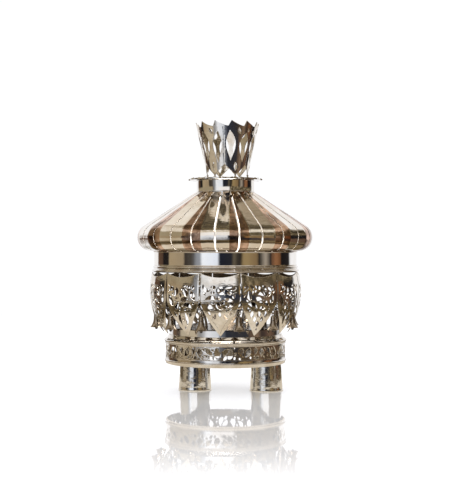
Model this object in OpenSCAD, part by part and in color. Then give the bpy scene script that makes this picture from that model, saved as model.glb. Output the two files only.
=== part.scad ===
// Ceremonial scroll crown in sheet silver. It stands on two sleeves that slip over
// the two staves of a scroll. Above them come an openwork base, a round wall of
// twelve pierced shields with a bell between each two, a dome of bent strips, and
// an openwork coronet.
// +Z is up. The origin is on the crown's axis, level with the sleeves' mouths.
// The front faces -Y.

/* [Stave sleeves] */
// Radius of the bore that takes a stave
bore_r = 20.3; // [18:0.1:20.6]
// Outer radius of a sleeve's flared mouth
mouth_r = 24.3; // [23:0.1:25]
// Height of a sleeve
sleeve_h = 72.8; // [68:0.1:72.8]
// Where the left sleeve is clamped, from the axis
left_at = 45.5; // [44:0.1:62.3]
// Where the right sleeve is clamped, from the axis
right_at = 60.8; // [44:0.1:62.3]

/* [Base] */
// Outer radius of the openwork band
band_r = 89; // [88.8:0.1:89.4]
// Number of scroll repeats round the openwork band
band_repeats = 24; // [23:1:24]

/* [Wall] */
// Radius of the sphere that the shields are part of
wall_r = 112.5; // [112:0.1:113]
// Height of the sphere's centre
wall_z = 150; // [149:0.5:151]
// Height of the shields' lower points
shield_tip_z = 87; // [86:0.5:90]
// Sheet thickness of the shields
shield_t = 1.1; // [0.9:0.1:1.2]

/* [Bells] */
// Distance of the bells' hooks from the axis
hook_r = 103.5; // [102:0.5:104.5]
// Outer radius of a bell's mouth
bell_r = 8.8; // [8.5:0.1:10]

/* [Dome] */
// Width of the slots between the dome's strips
slot_w = 2.8; // [1.6:0.1:3.6]
// Radius of the bend at the dome's shoulder
shoulder_r = 20; // [19:0.5:20]
// Sheet thickness of the strips
strip_t = 1; // [0.8:0.1:1.2]

/* [Coronet] */
// Outer radius of the collar between dome and coronet
collar_r = 43.3; // [43:0.1:43.6]
// Height of the coronet's points
coronet_top_z = 397; // [392:1:400]
// Outer radius of the coronet at its feet
coronet_foot_r = 30.5; // [29:0.5:32]
// Outer radius of the coronet at its points
coronet_top_r = 47.5; // [45:0.5:50]

/* [Hidden] */
$fn = 96;
eps = 0.01;
sides = 12;
step = 360 / sides;
half = step / 2;
front = -90;

// Sleeves and the fittings that clamp them
flare_z = 50;
sleeve_wall = 1.2;
neck_r = bore_r + sleeve_wall;
rim_r = 0.9;
plate_z = 73;
plate_t = 1.5;
plate_r = 87;
slide_gap = 0.2;
nearest = 44;
farthest = 62.3;
flange_t = 2;
flange_r = 22.9;
ear_y = 30;
ear_r = 6.5;
screw_r = 2;
guide_r = 2.3;
screw_head_r = 4.6;
screw_head_h = 4;

// Base rings, neck, brackets and gallery
low_z = 41.3;
band_z0 = 52;
band_z1 = 71.5;
band_t = 1.2;
ledge_r = 85.5;
neck_drum_r = 83.2;
neck_drum_t = 1.2;
neck_top_z = 93.5;
floor_t = 1.2;
gallery_z = 124;
gallery_t = 1.5;
gallery_r0 = 98;
gallery_r1 = 107.9;
bracket_foot_r = 80;
bracket_w = 3;

// Shields
wall_top_z = 176;
seam = 1.4;
side_z = 140;
tip_power = 1.45;
shield_edge = 28.3;
dip = 6;

// Rings above the wall
lip_z = 182;
belt_z0 = 187;
belt_z1 = 204.5;
belt_r = 106.2;

// Dome profiles: the wide facets, and the narrow ones that cut off their corners
dome_z0 = 207;
dome_z1 = 293.5;
wide_cx = 109.2;
wide_top = 43.9;
narrow_cx = 110;
narrow_top = 45.5;
dome_turn = -2.3;
centre_z = dome_z0 + shoulder_r;
tab_r = 104.5;

// Collar plate and coronet
plate2_z = 312;
plate2_t = 2.4;
coronet_shift = 3;
coronet_turn = -3.6;
lobe_r = 7;
lobe_at = 48.4;
foot_z = 320;
foot_w = 2.2;
arch_z = 334;
leaves = 6;
leaf_t = 1.1;
leaf_gap = 0.3;
tooth_h = 8;
coronet_h = coronet_top_z - foot_z;

// Bells
hook_z = gallery_z - 5.9;
eye_r = 2.3;
eye_w = 0.65;
loop_r = 2.2;
loop_w = 0.6;
loop_z = hook_z - (loop_r - loop_w - eye_w - 0.1);
crown_z = loop_z - loop_r;
mouth_z = crown_z - 19.5;
bell_t = 0.85;
pin_z = crown_z - 2.8;
pin_r = 0.45;
clapper_ring = 1.15;
clapper_wire = 0.4;
rod_r = 0.5;
ball_r = 2.1;

function numbered(name) = [for (i = [1:sides]) str(name, "_", i < 10 ? "0" : "", i)];

silver = [0.84, 0.82, 0.78];
warm_silver = [0.78, 0.72, 0.62];
steel = [0.6, 0.6, 0.6];

// ---------- helpers ----------

// A flat drawing, x across and y up, pushed outwards from r0 to r1 at an azimuth
module radial(azimuth, r0, r1)
    rotate([0, 0, azimuth]) translate([r0, 0, 0]) rotate([90, 0, 90]) linear_extrude(r1 - r0) children();

// A pointed leaf shape, centred, long axis upright
module leaf(length, width) {
    r = (length * length + width * width) / (4 * width);
    intersection() {
        translate([r - width / 2, 0]) circle(r);
        translate([width / 2 - r, 0]) circle(r);
    }
}

module leaf_at(x, y, length, width, turn)
    translate([x, y]) rotate(turn) leaf(length, width);

module ring(points) rotate_extrude() polygon(points);

// An upright tube from z0 to z1
module tube(r, t, z0, z1) translate([0, 0, z0]) difference() {
    cylinder(r = r, h = z1 - z0);
    translate([0, 0, -1]) cylinder(r = r - t, h = z1 - z0 + 2);
}

module torus(r, wire) rotate_extrude() translate([r, 0]) circle(wire, $fn = 32);

// A slot with round ends along X, from x0 to x1
module slot(x0, x1, y, r) {
    translate([x0, y]) circle(r);
    translate([x1, y]) circle(r);
    translate([x0, y - r]) square([x1 - x0, 2 * r]);
}

// ---------- sleeves ----------

module sleeve(x) color(warm_silver) translate([x, 0, 0]) rotate_extrude() difference() {
    union() {
        polygon([[mouth_r - sleeve_wall, 0], [mouth_r, 0], [neck_r, flare_z], [neck_r, sleeve_h],
                 [bore_r, sleeve_h], [bore_r, flare_z]]);
        translate([mouth_r - 0.2, rim_r]) circle(rim_r, $fn = 32);
    }
    translate([0, -5]) square([mouth_r * 2, 5]);
}

// A collar round the sleeve's top, with two ears, just under the base plate
module sleeve_flange(x) color(silver) translate([x, 0, plate_z - slide_gap - flange_t]) difference() {
    linear_extrude(flange_t) {
        circle(flange_r);
        translate([-ear_r, -ear_y]) square([2 * ear_r, 2 * ear_y]);
        for (s = [-1, 1]) translate([0, s * ear_y]) circle(ear_r);
    }
    translate([0, 0, -1]) cylinder(r = neck_r, h = flange_t + 2);
    for (s = [-1, 1]) translate([0, s * ear_y, -1]) cylinder(r = screw_r, h = flange_t + 2);
}

// Two knurled screws go down through the base plate's guide slots into the flange's ears
module clamp_screws(x) color(steel) for (s = [-1, 1])
    translate([x, s * ear_y, plate_z + plate_t + slide_gap]) {
        linear_extrude(screw_head_h) difference() {
            circle(screw_head_r);
            for (a = [0:20:340]) rotate(a) translate([screw_head_r + 0.25, 0]) circle(0.6, $fn = 16);
        }
        shank = plate_t + 2 * slide_gap + flange_t + 1;
        translate([0, 0, -shank]) cylinder(r = screw_r, h = shank + 1);
    }

// ---------- base ----------

module base_plate() color(silver) translate([0, 0, plate_z]) linear_extrude(plate_t) difference() {
    circle(plate_r);
    for (s = [-1, 1], y = [-ear_y, ear_y]) scale([s, 1]) slot(nearest, farthest, y, guide_r);
}

module base_lower_ring() color(warm_silver) ring([
    [85.9, low_z], [87.2, low_z], [88.9, low_z + 2], [90, low_z + 4.6], [90.3, low_z + 6],
    [89.6, low_z + 6.6], [band_r - 0.1, band_z0], [85.9, band_z0]]);

// Metal kept in one window of the band: a scroll ring round a leaf, and a slanting leaf
module band_scroll(k) {
    mid = (band_z0 + band_z1) / 2;
    lean = k % 2 == 0 ? 1 : -1;
    translate([-4.2, mid]) difference() {
        circle(9.3);
        circle(7.5);
    }
    leaf_at(-4.2, mid, 16, 5, lean * 52);
    leaf_at(8.2, mid, 21, 4.6, lean * 20);
    leaf_at(3.6, mid - lean * 5.6, 9, 2.8, -lean * 55);
}

module base_openwork_band() color(silver) difference() {
    tube(band_r, band_t, band_z0, band_z1);
    pitch = PI * 2 * band_r / band_repeats;
    for (k = [0:band_repeats - 1]) radial(front + k * 360 / band_repeats, band_r - 6, band_r + 3) difference() {
        translate([-pitch / 2 + 0.6, band_z0 + 1.4]) square([pitch - 2.2, band_z1 - band_z0 - 2.8]);
        band_scroll(k);
    }
}

module base_upper_ring() color(warm_silver) ring([
    [ledge_r, band_z1], [89.8, band_z1], [91, band_z1 + 3], [91.2, band_z1 + 4.8], [90.6, band_z1 + 5.4],
    [87.4, 79], [85.2, 81.4], [84.4, 84.5], [neck_drum_r, 84.5], [neck_drum_r, plate_z + plate_t],
    [plate_r, plate_z + plate_t], [plate_r, plate_z], [ledge_r, plate_z]]);

module neck_drum() color(silver) tube(neck_drum_r, neck_drum_t, plate_z + plate_t, neck_top_z);

module neck_floor() color(silver)
    translate([0, 0, neck_top_z]) cylinder(r = neck_drum_r + 0.3, h = floor_t);

// Twelve slim brackets, one behind each bell, carry the gallery on the neck
function bracket_r(t) = bracket_foot_r + (gallery_r0 - bracket_foot_r) * pow(t, 2.2);
module wall_brackets() color(silver) {
    z0 = neck_top_z + floor_t;
    rise = gallery_z - z0;
    inner = [for (k = [0:8]) [bracket_r(k / 8), z0 + rise * k / 8]];
    outer = [for (k = [8:-1:0]) [bracket_r(k / 8) + 2.2 + k / 8, z0 + rise * k / 8]];
    for (i = [1:sides]) rotate([0, 0, front + half + (i - 1) * step]) rotate([90, 0, 0])
        linear_extrude(bracket_w, center = true) polygon(concat(inner, outer));
}

module bell_gallery() color(silver) translate([0, 0, gallery_z]) difference() {
    cylinder(r = gallery_r1, h = gallery_t);
    translate([0, 0, -1]) cylinder(r = gallery_r0, h = gallery_t + 2);
}

// ---------- wall shields ----------

function sphere_r(z) = sqrt(pow(wall_r, 2) - pow(z - wall_z, 2));
function shield_half(z) = z > side_z ? sphere_r(z) * sin(half) - seam / 2
    : (sphere_r(side_z) * sin(half) - seam / 2) * (1 - pow((side_z - z) / (side_z - shield_tip_z), tip_power));

module shield_outline() {
    lower = [for (z = [shield_tip_z:5.3:side_z]) [shield_half(z), z]];
    upper = [for (z = [148:7:170]) [shield_half(z), z]];
    top = [for (k = [10:-1:-10]) [k / 10 * shield_half(wall_top_z), wall_top_z - dip * (1 - pow(k / 10, 2))]];
    right = concat(lower, upper);
    polygon(concat(right, top, [for (i = [len(right) - 1:-1:1]) [-right[i][0], right[i][1]]]));
}

// Leaf-shaped holes scattered over the shield's field, loosely one to a cell, turned every way
module field_piercing(style) {
    cell = 8.6;
    turns = rands(-85, 85, 20, 11 + style);
    widths = rands(3.4, 5.6, 20, 31 + style);
    lengths = rands(6.4, 8.4, 20, 51 + style);
    xs = rands(-0.9, 0.9, 20, 71 + style);
    zs = rands(-0.7, 0.7, 20, 91 + style);
    for (row = [0:3], col = [0:4])
        let (k = row * 5 + col, shift = row % 2 == 0 ? -0.4 : 0.4)
            leaf_at((col - 2 + shift) * cell + xs[k], 135 + row * 8.4 + zs[k], lengths[k], widths[k], turns[k]);
}

// Larger holes in the shield's point: leaves along the edges, with a different heart in each style
module point_piercing(style) {
    for (s = [-1, 1]) {
        leaf_at(s * 14.6, 122.4, 12, 4.6, -s * 32);
        leaf_at(s * 8.6, 111, 10.5, 3.6, -s * 30);
    }
    if (style == 0) {
        leaf_at(0, 119.5, 14, 9, 0);
        leaf_at(0, 103.6, 10, 4.2, 0);
    }
    if (style == 1) {
        for (s = [-1, 1]) leaf_at(s * 4.4, 120.5, 13, 5, s * 20);
        leaf_at(0, 105.6, 12, 5, 0);
    }
    if (style == 2) {
        translate([0, 122]) circle(4.8, $fn = 48);
        for (s = [-1, 1]) leaf_at(s * 2.9, 110.6, 8, 3.2, -s * 18);
        leaf_at(0, 101.6, 6.6, 3.2, 0);
    }
}

module wall_shield(i) color(silver) rotate([0, 0, front + (i - 1) * step]) intersection() {
    translate([0, 0, wall_z]) rotate([0, 0, 180]) difference() {
        sphere(wall_r);
        sphere(wall_r - shield_t);
    }
    radial(0, 84, wall_r + 2) difference() {
        shield_outline();
        field_piercing(i % 3);
        point_piercing(i % 3);
    }
}

// ---------- bells ----------

module at_bell(i) rotate([0, 0, front + half + (i - 1) * step]) translate([hook_r, 0, 0]) children();

// An eye under the gallery for each bell, its bottom wire lying along the wall
module bell_hooks() color(steel) for (i = [1:sides]) at_bell(i) {
    translate([0, 0, hook_z + eye_r]) rotate([0, 90, 0]) torus(eye_r, eye_w);
    translate([0, 0, hook_z + 2 * eye_r]) cylinder(r = eye_w, h = gallery_z - hook_z - 2 * eye_r, $fn = 32);
}

function bell_radius(s) = 3.5 + (bell_r - 3.5) * (0.16 * s + 0.84 * pow(s, 3.2));

module bell(i) color(warm_silver) at_bell(i) {
    h = crown_z - mouth_z;
    n = 12;
    outer = [for (k = [0:n]) [bell_radius(k / n), crown_z - 1.2 - (h - 1.2) * k / n]];
    inner = [for (k = [n:-1:0]) [bell_radius(k / n) - bell_t, crown_z - 1.2 - (h - 1.2) * k / n]];
    ring(concat([[0, crown_z], [2.2, crown_z]], outer, [[bell_r - 0.1, mouth_z - 0.5], [bell_r - bell_t, mouth_z - 0.5]],
                [for (p = inner) p], [[0, crown_z - 1.2]]));
    translate([0, 0, loop_z]) rotate([90, 0, 0]) torus(loop_r, loop_w);
    translate([0, 0, crown_z - 0.6]) cylinder(r = 1.1, h = 0.9, $fn = 32);
    translate([0, 0, pin_z]) rotate([90, 0, 0]) cylinder(r = pin_r, h = 6, center = true, $fn = 32);
}

module clapper(i) color(steel) at_bell(i) {
    ring_z = pin_z - (clapper_ring - clapper_wire - pin_r) + 0.05;
    translate([0, 0, ring_z]) rotate([90, 0, 0]) torus(clapper_ring, clapper_wire);
    translate([0, 0, mouth_z - 1]) cylinder(r = rod_r, h = ring_z - clapper_ring - mouth_z + 1, $fn = 32);
    translate([0, 0, mouth_z - 1.7]) sphere(ball_r, $fn = 48);
}

// ---------- rings between wall and dome ----------

module wall_top_ring() color(warm_silver) ring([
    [104.4, wall_top_z], [108.6, wall_top_z], [109.7, wall_top_z + 1.8], [109.9, wall_top_z + 3.6],
    [109.2, wall_top_z + 5.2], [107.4, lip_z], [107.1, lip_z + 1.2], [107.8, lip_z + 2.2], [107.8, lip_z + 3.6],
    [107, belt_z0], [104.4, belt_z0]]);

module belt_band() color(silver) tube(belt_r, 1, belt_z0, belt_z1);

module dome_seat_hoop() color(warm_silver)
    ring([[103.4, belt_z1], [106.8, belt_z1], [107.5, belt_z1 + 0.8], [107.4, dome_z0 - 0.3], [106.9, dome_z0], [103.4, dome_z0]]);

// ---------- dome ----------

// Angle at which the slope from the collar touches the shoulder's circle
function touch(cx, top, r) =
    let (dx = top - cx, dz = dome_z1 - centre_z)
        atan2(dz, dx) - acos(r / norm([dx, dz]));

// The outline of one kind of facet from the axis out to radius, inset for the inside face
function dome_outline(cx, top, inset) =
    let (r = shoulder_r - inset, a = touch(cx, top, shoulder_r),
         fall = tan(90 - a), end_r = 36,
         end_z = dome_z1 + (top - end_r) * fall - inset / cos(90 - a))
        concat([[0, dome_z0 + inset]],
               [for (k = [0:15]) let (b = -90 + k * (a + 90) / 15) [cx + r * cos(b), centre_z + r * sin(b)]],
               [[end_r, end_z], [0, end_z]]);

module facet_prism(azimuth, points)
    rotate([0, 0, azimuth]) rotate([90, 0, 0]) linear_extrude(220, center = true) polygon(points);

// Plan of one strip, between the slot in a wide facet and the slot in the next narrow one
module strip_plan() {
    s = slot_w / 2;
    far = 150;
    x0 = s * (cos(half) + 1) / sin(half);
    linear_extrude(400) polygon([[x0, s], [far, s], [far * cos(half) + s * sin(half), far * sin(half) - s * cos(half)]]);
}

module dome_strip() difference() {
    intersection() {
        strip_plan();
        facet_prism(0, dome_outline(wide_cx, wide_top, 0));
        facet_prism(half, dome_outline(narrow_cx, narrow_top, 0));
    }
    intersection() {
        facet_prism(0, dome_outline(wide_cx, wide_top, strip_t));
        facet_prism(half, dome_outline(narrow_cx, narrow_top, strip_t));
    }
    cylinder(r = collar_r, h = 400);
    cylinder(r = tab_r, h = dome_z0 + strip_t + eps);
}

module dome_strips() color(silver) for (i = [0:sides - 1], flip = [0, 1])
    rotate([0, 0, front + dome_turn + i * step]) mirror([0, flip, 0]) dome_strip();

// ---------- collar and coronet ----------

module collar_band() color(silver) tube(collar_r, 1.1, dome_z1 - 5, plate2_z);

function post_azimuth(k) = front + 30 + coronet_turn + k * 360 / leaves;
module at_leaf(k) translate([coronet_shift, 0, 0]) rotate([0, 0, post_azimuth(k)]) children();
post_r = coronet_foot_r - leaf_t / 2;

module collar_plate() color(warm_silver) translate([0, 0, plate2_z]) difference() {
    linear_extrude(plate2_t) {
        circle(53);
        for (k = [0:sides - 1]) rotate(k * step) translate([lobe_at, 0]) circle(lobe_r);
    }
    for (k = [0:leaves - 1]) at_leaf(k) translate([post_r, 0, -1]) cylinder(r = 1.3, h = plate2_t + 2, $fn = 32);
}

module coronet_posts() color(steel) for (k = [0:leaves - 1]) at_leaf(k)
    translate([post_r, 0, 0]) rotate_extrude($fn = 32) polygon([
        [0, plate2_z], [1.3, plate2_z], [1.3, plate2_z + plate2_t], [2, plate2_z + plate2_t + 0.6],
        [2.1, plate2_z + plate2_t + 1.4], [1.4, plate2_z + plate2_t + 2.4], [1.1, foot_z - 1.6], [1.6, foot_z - 0.6],
        [1.6, foot_z], [0, foot_z]]);

function coronet_r(z) = coronet_foot_r + (coronet_top_r - coronet_foot_r) * (z - foot_z) / coronet_h;
function leaf_half(z) = coronet_r(z) * sin(180 / leaves) + 0.4;

// Height of the swept points at twelfths of the leaf's half width: steep on the left, hollow on the right
function tooth(k) = let (u = (k + 18) % 12 / 12)
    tooth_h * (u <= 5 / 6 ? pow(1 - u * 6 / 5, 1.6) : (u - 5 / 6) * 6);

// A leaf's outline: a small foot, sides that open to the full width, and two swept points on top
module coronet_outline() {
    w = leaf_half(coronet_top_z);
    points = [for (k = [12:-1:-12]) [w * k / 12, coronet_top_z - tooth_h + tooth(k)]];
    polygon(concat([[-foot_w, foot_z], [foot_w, foot_z], [leaf_half(arch_z), arch_z], [leaf_half(360), 360]],
                   points, [[-leaf_half(360), 360], [-leaf_half(arch_z), arch_z]]));
}

module coronet_piercing(style) {
    lean = [6, -5, 2][style];
    leaf_at(-9.2, 360, 44, 13.5, 5 + lean / 2);
    leaf_at(9.4, 357 - lean / 2, 43, 14.5, -7 + lean / 2);
    leaf_at(-lean / 4, 329.5, 13, 5.4, lean);
    leaf_at(lean / 3, 380, 13, 5, 36 - lean * 3);
}

// Plan of the sector that one leaf keeps to, a little short of its neighbours
module leaf_wedge() {
    far = 2 * coronet_top_r;
    spread = far * tan(180 / leaves - leaf_gap);
    polygon([[0, 0], [far, -spread], [far, spread]]);
}

module coronet_leaves() color(silver) for (k = [0:leaves - 1]) at_leaf(k) intersection() {
    translate([0, 0, foot_z]) rotate([0, 0, 180]) difference() {
        cylinder(r1 = coronet_foot_r, r2 = coronet_top_r, h = coronet_h);
        cylinder(r1 = coronet_foot_r - leaf_t, r2 = coronet_top_r - leaf_t, h = coronet_h);
    }
    linear_extrude(coronet_top_z + 1) leaf_wedge();
    radial(0, 8, coronet_top_r + 3) difference() {
        coronet_outline();
        coronet_piercing(k % 3);
    }
}

// ---------- the parts ----------

sleeve(-left_at);  // sleeve_left
sleeve(right_at);  // sleeve_right
sleeve_flange(-left_at);  // sleeve_flange_left
sleeve_flange(right_at);  // sleeve_flange_right
clamp_screws(-left_at);  // clamp_screws_left
clamp_screws(right_at);  // clamp_screws_right
base_plate();
base_lower_ring();
base_openwork_band();
base_upper_ring();
neck_drum();
neck_floor();
wall_brackets();
bell_gallery();
bell_hooks();
for (i = [1:sides]) {
    wall_shield(i);
    bell(i);
    clapper(i);
}
wall_top_ring();
belt_band();
dome_seat_hoop();
dome_strips();
collar_band();
collar_plate();
coronet_posts();
coronet_leaves();
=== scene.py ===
import math
import random
import bmesh
import bpy
import numpy as np
from mathutils import Matrix, Vector, noise


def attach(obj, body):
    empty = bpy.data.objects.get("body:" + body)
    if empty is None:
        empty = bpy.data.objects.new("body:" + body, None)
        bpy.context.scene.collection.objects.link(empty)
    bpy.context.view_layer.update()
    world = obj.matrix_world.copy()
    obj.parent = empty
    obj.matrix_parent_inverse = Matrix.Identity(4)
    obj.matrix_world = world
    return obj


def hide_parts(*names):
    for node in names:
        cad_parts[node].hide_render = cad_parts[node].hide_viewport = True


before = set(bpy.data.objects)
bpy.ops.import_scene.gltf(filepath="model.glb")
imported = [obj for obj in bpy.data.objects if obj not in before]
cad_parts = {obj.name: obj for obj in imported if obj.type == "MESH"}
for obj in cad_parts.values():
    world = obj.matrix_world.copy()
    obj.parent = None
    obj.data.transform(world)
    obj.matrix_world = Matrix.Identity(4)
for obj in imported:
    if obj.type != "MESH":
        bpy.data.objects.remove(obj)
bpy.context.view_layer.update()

MM = 0.001
SIDES = 12
STEP = math.radians(360 / SIDES)
FRONT = math.radians(-90)
UP = Vector((0, 0, 1))
SHARP = math.radians(32)
FACES_IN = -0.25


# ---------- shared effects ----------


def start_group(name, inputs, outputs):
    """A shader node group with the named sockets. Returns its tree, its input node and its output node."""
    tree = bpy.data.node_groups.new(name, "ShaderNodeTree")
    kinds = {"value": "NodeSocketFloat", "colour": "NodeSocketColor"}
    for label, (kind, default) in inputs.items():
        socket = tree.interface.new_socket(name=label, in_out="INPUT", socket_type=kinds[kind])
        socket.default_value = default
    for label, kind in outputs.items():
        tree.interface.new_socket(name=label, in_out="OUTPUT", socket_type=kinds[kind])
    return tree, tree.nodes.new("NodeGroupInput"), tree.nodes.new("NodeGroupOutput")


def soft_noise(tree, coords, scale, detail=2.0, rough=0.5):
    """A cloudy mask. The scale is a number or another node's output."""
    node = tree.nodes.new("ShaderNodeTexNoise")
    node.inputs["Detail"].default_value = detail
    node.inputs["Roughness"].default_value = rough
    tree.links.new(coords, node.inputs["Vector"])
    if hasattr(scale, "is_linked"):
        tree.links.new(scale, node.inputs["Scale"])
    else:
        node.inputs["Scale"].default_value = scale
    return node.outputs["Fac"]


def spread(tree, value, low, high, to_low=0.0, to_high=1.0):
    """Stretches the part of a mask between low and high."""
    node = tree.nodes.new("ShaderNodeMapRange")
    node.interpolation_type = "SMOOTHSTEP"
    for label, number in (("From Min", low), ("From Max", high), ("To Min", to_low), ("To Max", to_high)):
        if hasattr(number, "is_linked"):
            tree.links.new(number, node.inputs[label])
        else:
            node.inputs[label].default_value = number
    tree.links.new(value, node.inputs["Value"])
    return node.outputs["Result"]


def combine(tree, operation, a, b=0.0):
    """One step of arithmetic on masks or numbers. Some operations read only the first."""
    node = tree.nodes.new("ShaderNodeMath")
    node.operation = operation
    for socket, source in zip(node.inputs, (a, b)):
        if hasattr(source, "is_linked"):
            tree.links.new(source, socket)
        else:
            socket.default_value = source
    return node.outputs[0]


def blend_colours(tree, mask, a, b):
    """Colour a where the mask is 0, b where it is 1."""
    node = tree.nodes.new("ShaderNodeMix")
    node.data_type = "RGBA"
    tree.links.new(mask, node.inputs["Factor"])
    for socket, source in ((node.inputs["A"], a), (node.inputs["B"], b)):
        if hasattr(source, "is_linked"):
            tree.links.new(source, socket)
        else:
            socket.default_value = source
    return node.outputs["Result"]


def make_toning_and_spots():
    """Clean metal, a broad warm toning over it, and small spots in a colour of their own: darker than the
    metal on most finishes, lighter painted highlights on the coppery strips.
    """
    tree, given, result = start_group(
        "toning_and_spots",
        {
            "Clean": ("colour", (0.8, 0.8, 0.78, 1)),
            "Toned": ("colour", (0.6, 0.5, 0.4, 1)),
            "Spots": ("colour", (0.2, 0.15, 0.1, 1)),
            "Toning": ("value", 0.5),
            "Spotting": ("value", 0.2),
            "Patch Scale": ("value", 18.0),
        },
        {"Color": "colour", "Mask": "value"},
    )
    coords = tree.nodes.new("ShaderNodeTexCoord").outputs["Object"]
    broad = soft_noise(tree, coords, given.outputs["Patch Scale"], 3.0, 0.6)
    toned = combine(tree, "MULTIPLY", spread(tree, broad, 0.34, 0.68), given.outputs["Toning"])
    fine = soft_noise(tree, coords, 420.0, 3.0, 0.65)
    spotted = combine(tree, "MULTIPLY", spread(tree, fine, 0.58, 0.74), given.outputs["Spotting"])
    colour = blend_colours(tree, toned, given.outputs["Clean"], given.outputs["Toned"])
    colour = blend_colours(tree, spotted, colour, given.outputs["Spots"])
    tree.links.new(colour, result.inputs["Color"])
    tree.links.new(combine(tree, "MAXIMUM", toned, spotted), result.inputs["Mask"])
    return tree


def make_polish():
    """Roughness of a polished surface: an even gloss with cloudy wiping marks and fine hairlines."""
    tree, given, result = start_group(
        "polish marks",
        {"Gloss": ("value", 0.08), "Marks": ("value", 0.1), "Mask": ("value", 0.0)},
        {"Roughness": "value", "Hairlines": "value"},
    )
    coords = tree.nodes.new("ShaderNodeTexCoord").outputs["Object"]
    cloudy = spread(tree, soft_noise(tree, coords, 60.0, 4.0, 0.6), 0.4, 0.75)
    stretched = tree.nodes.new("ShaderNodeMapping")
    stretched.inputs["Scale"].default_value = (1.0, 1.0, 14.0)
    tree.links.new(coords, stretched.inputs["Vector"])
    hairs = soft_noise(tree, stretched.outputs["Vector"], 260.0, 3.0, 0.7)
    amount = combine(tree, "MULTIPLY", cloudy, given.outputs["Marks"])
    dulled = combine(tree, "MULTIPLY", given.outputs["Mask"], 0.07)
    total = combine(tree, "ADD", combine(tree, "ADD", amount, dulled), given.outputs["Gloss"])
    tree.links.new(total, result.inputs["Roughness"])
    tree.links.new(hairs, result.inputs["Hairlines"])
    return tree


def make_sheet_wave():
    """The slow unevenness of thin sheet that was bent and rubbed by hand."""
    tree, given, result = start_group(
        "sheet wave",
        {"Wave Scale": ("value", 30.0), "Ripple": ("value", 0.2)},
        {"Height": "value"},
    )
    coords = tree.nodes.new("ShaderNodeTexCoord").outputs["Object"]
    slow = soft_noise(tree, coords, given.outputs["Wave Scale"], 1.5, 0.4)
    stretched = tree.nodes.new("ShaderNodeMapping")
    stretched.inputs["Scale"].default_value = (1.0, 1.0, 3.2)
    tree.links.new(coords, stretched.inputs["Vector"])
    fine_scale = combine(tree, "MULTIPLY", given.outputs["Wave Scale"], 4.0)
    ripple = soft_noise(tree, stretched.outputs["Vector"], fine_scale, 1.0, 0.5)
    height = combine(tree, "ADD", slow, combine(tree, "MULTIPLY", ripple, given.outputs["Ripple"]))
    tree.links.new(height, result.inputs["Height"])
    return tree


def make_hammering():
    """Shallow overlapping hammer dints."""
    tree, given, result = start_group("hammering", {"Dint Scale": ("value", 220.0)}, {"Height": "value"})
    coords = tree.nodes.new("ShaderNodeTexCoord").outputs["Object"]
    dints = tree.nodes.new("ShaderNodeTexVoronoi")
    dints.feature = "SMOOTH_F1"
    dints.inputs["Smoothness"].default_value = 0.6
    tree.links.new(given.outputs["Dint Scale"], dints.inputs["Scale"])
    tree.links.new(coords, dints.inputs["Vector"])
    tree.links.new(dints.outputs["Distance"], result.inputs["Height"])
    return tree


TONING_AND_SPOTS = make_toning_and_spots()
POLISH = make_polish()
SHEET_WAVE = make_sheet_wave()
HAMMERING = make_hammering()


def place_group(material, group, **values):
    node = material.node_tree.nodes.new("ShaderNodeGroup")
    node.node_tree = group
    for label, value in values.items():
        node.inputs[label.replace("_", " ")].default_value = value
    return node


def silver(name, clean, toned, spots, toning=0.5, spotting=0.15, patch=18.0, gloss=0.06, marks=0.08,
           wave=0.0, wave_scale=30.0, ripple=0.2, dints=0.0, dint_scale=220.0, hairlines=0.002):
    """A silver finish. wave, dints and hairlines are the depths of its unevenness in millimetres."""
    material = bpy.data.materials.new(name)
    material.use_nodes = True
    tree = material.node_tree
    shader = tree.nodes["Principled BSDF"]
    shader.inputs["Metallic"].default_value = 1.0
    toning_and_spots = place_group(material, TONING_AND_SPOTS, Clean=(*clean, 1), Toned=(*toned, 1), Spots=(*spots, 1),
                          Toning=toning, Spotting=spotting, Patch_Scale=patch)
    tree.links.new(toning_and_spots.outputs["Color"], shader.inputs["Base Color"])
    polish = place_group(material, POLISH, Gloss=gloss, Marks=marks)
    tree.links.new(toning_and_spots.outputs["Mask"], polish.inputs["Mask"])
    tree.links.new(polish.outputs["Roughness"], shader.inputs["Roughness"])
    normal = None
    layers = [(polish.outputs["Hairlines"], hairlines)]
    if wave:
        node = place_group(material, SHEET_WAVE, Wave_Scale=wave_scale, Ripple=ripple)
        layers.append((node.outputs["Height"], wave))
    if dints:
        node = place_group(material, HAMMERING, Dint_Scale=dint_scale)
        layers.append((node.outputs["Height"], dints))
    for height, depth in layers:
        bump = tree.nodes.new("ShaderNodeBump")
        bump.inputs["Strength"].default_value = 1.0
        bump.inputs["Distance"].default_value = depth * MM
        tree.links.new(height, bump.inputs["Height"])
        if normal:
            tree.links.new(normal, bump.inputs["Normal"])
        normal = bump.outputs["Normal"]
    tree.links.new(normal, shader.inputs["Normal"])
    return material


PLAIN = silver("polished band", (0.88, 0.86, 0.83), (0.74, 0.66, 0.55), (0.35, 0.26, 0.17), toning=0.45,
               spotting=0.1, gloss=0.02, marks=0.04, wave=0.35, wave_scale=26.0, ripple=0.05)
STRIPS = silver("bent strips", (0.9, 0.86, 0.8), (0.72, 0.62, 0.5), (0.3, 0.2, 0.12), toning=0.65,
                spotting=0.15, patch=20.0, gloss=0.025, marks=0.05, wave=0.34, wave_scale=34.0, ripple=0.22)
# Painted highlight: the coppery strips' spots are lighter than the metal and stand in for glints of light,
# not tarnish.
PETALS = silver("coppery strips", (0.72, 0.5, 0.38), (0.24, 0.15, 0.1), (0.95, 0.76, 0.58), toning=1.0,
                spotting=0.35, patch=42.0, gloss=0.07, marks=0.06, wave=0.45, wave_scale=44.0, ripple=0.2)
PIERCED = silver("pierced sheet", (0.9, 0.87, 0.82), (0.6, 0.51, 0.4), (0.2, 0.15, 0.1), toning=0.7,
                 spotting=0.4, patch=30.0, gloss=0.04, marks=0.06, wave=0.45, wave_scale=45.0)
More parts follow.
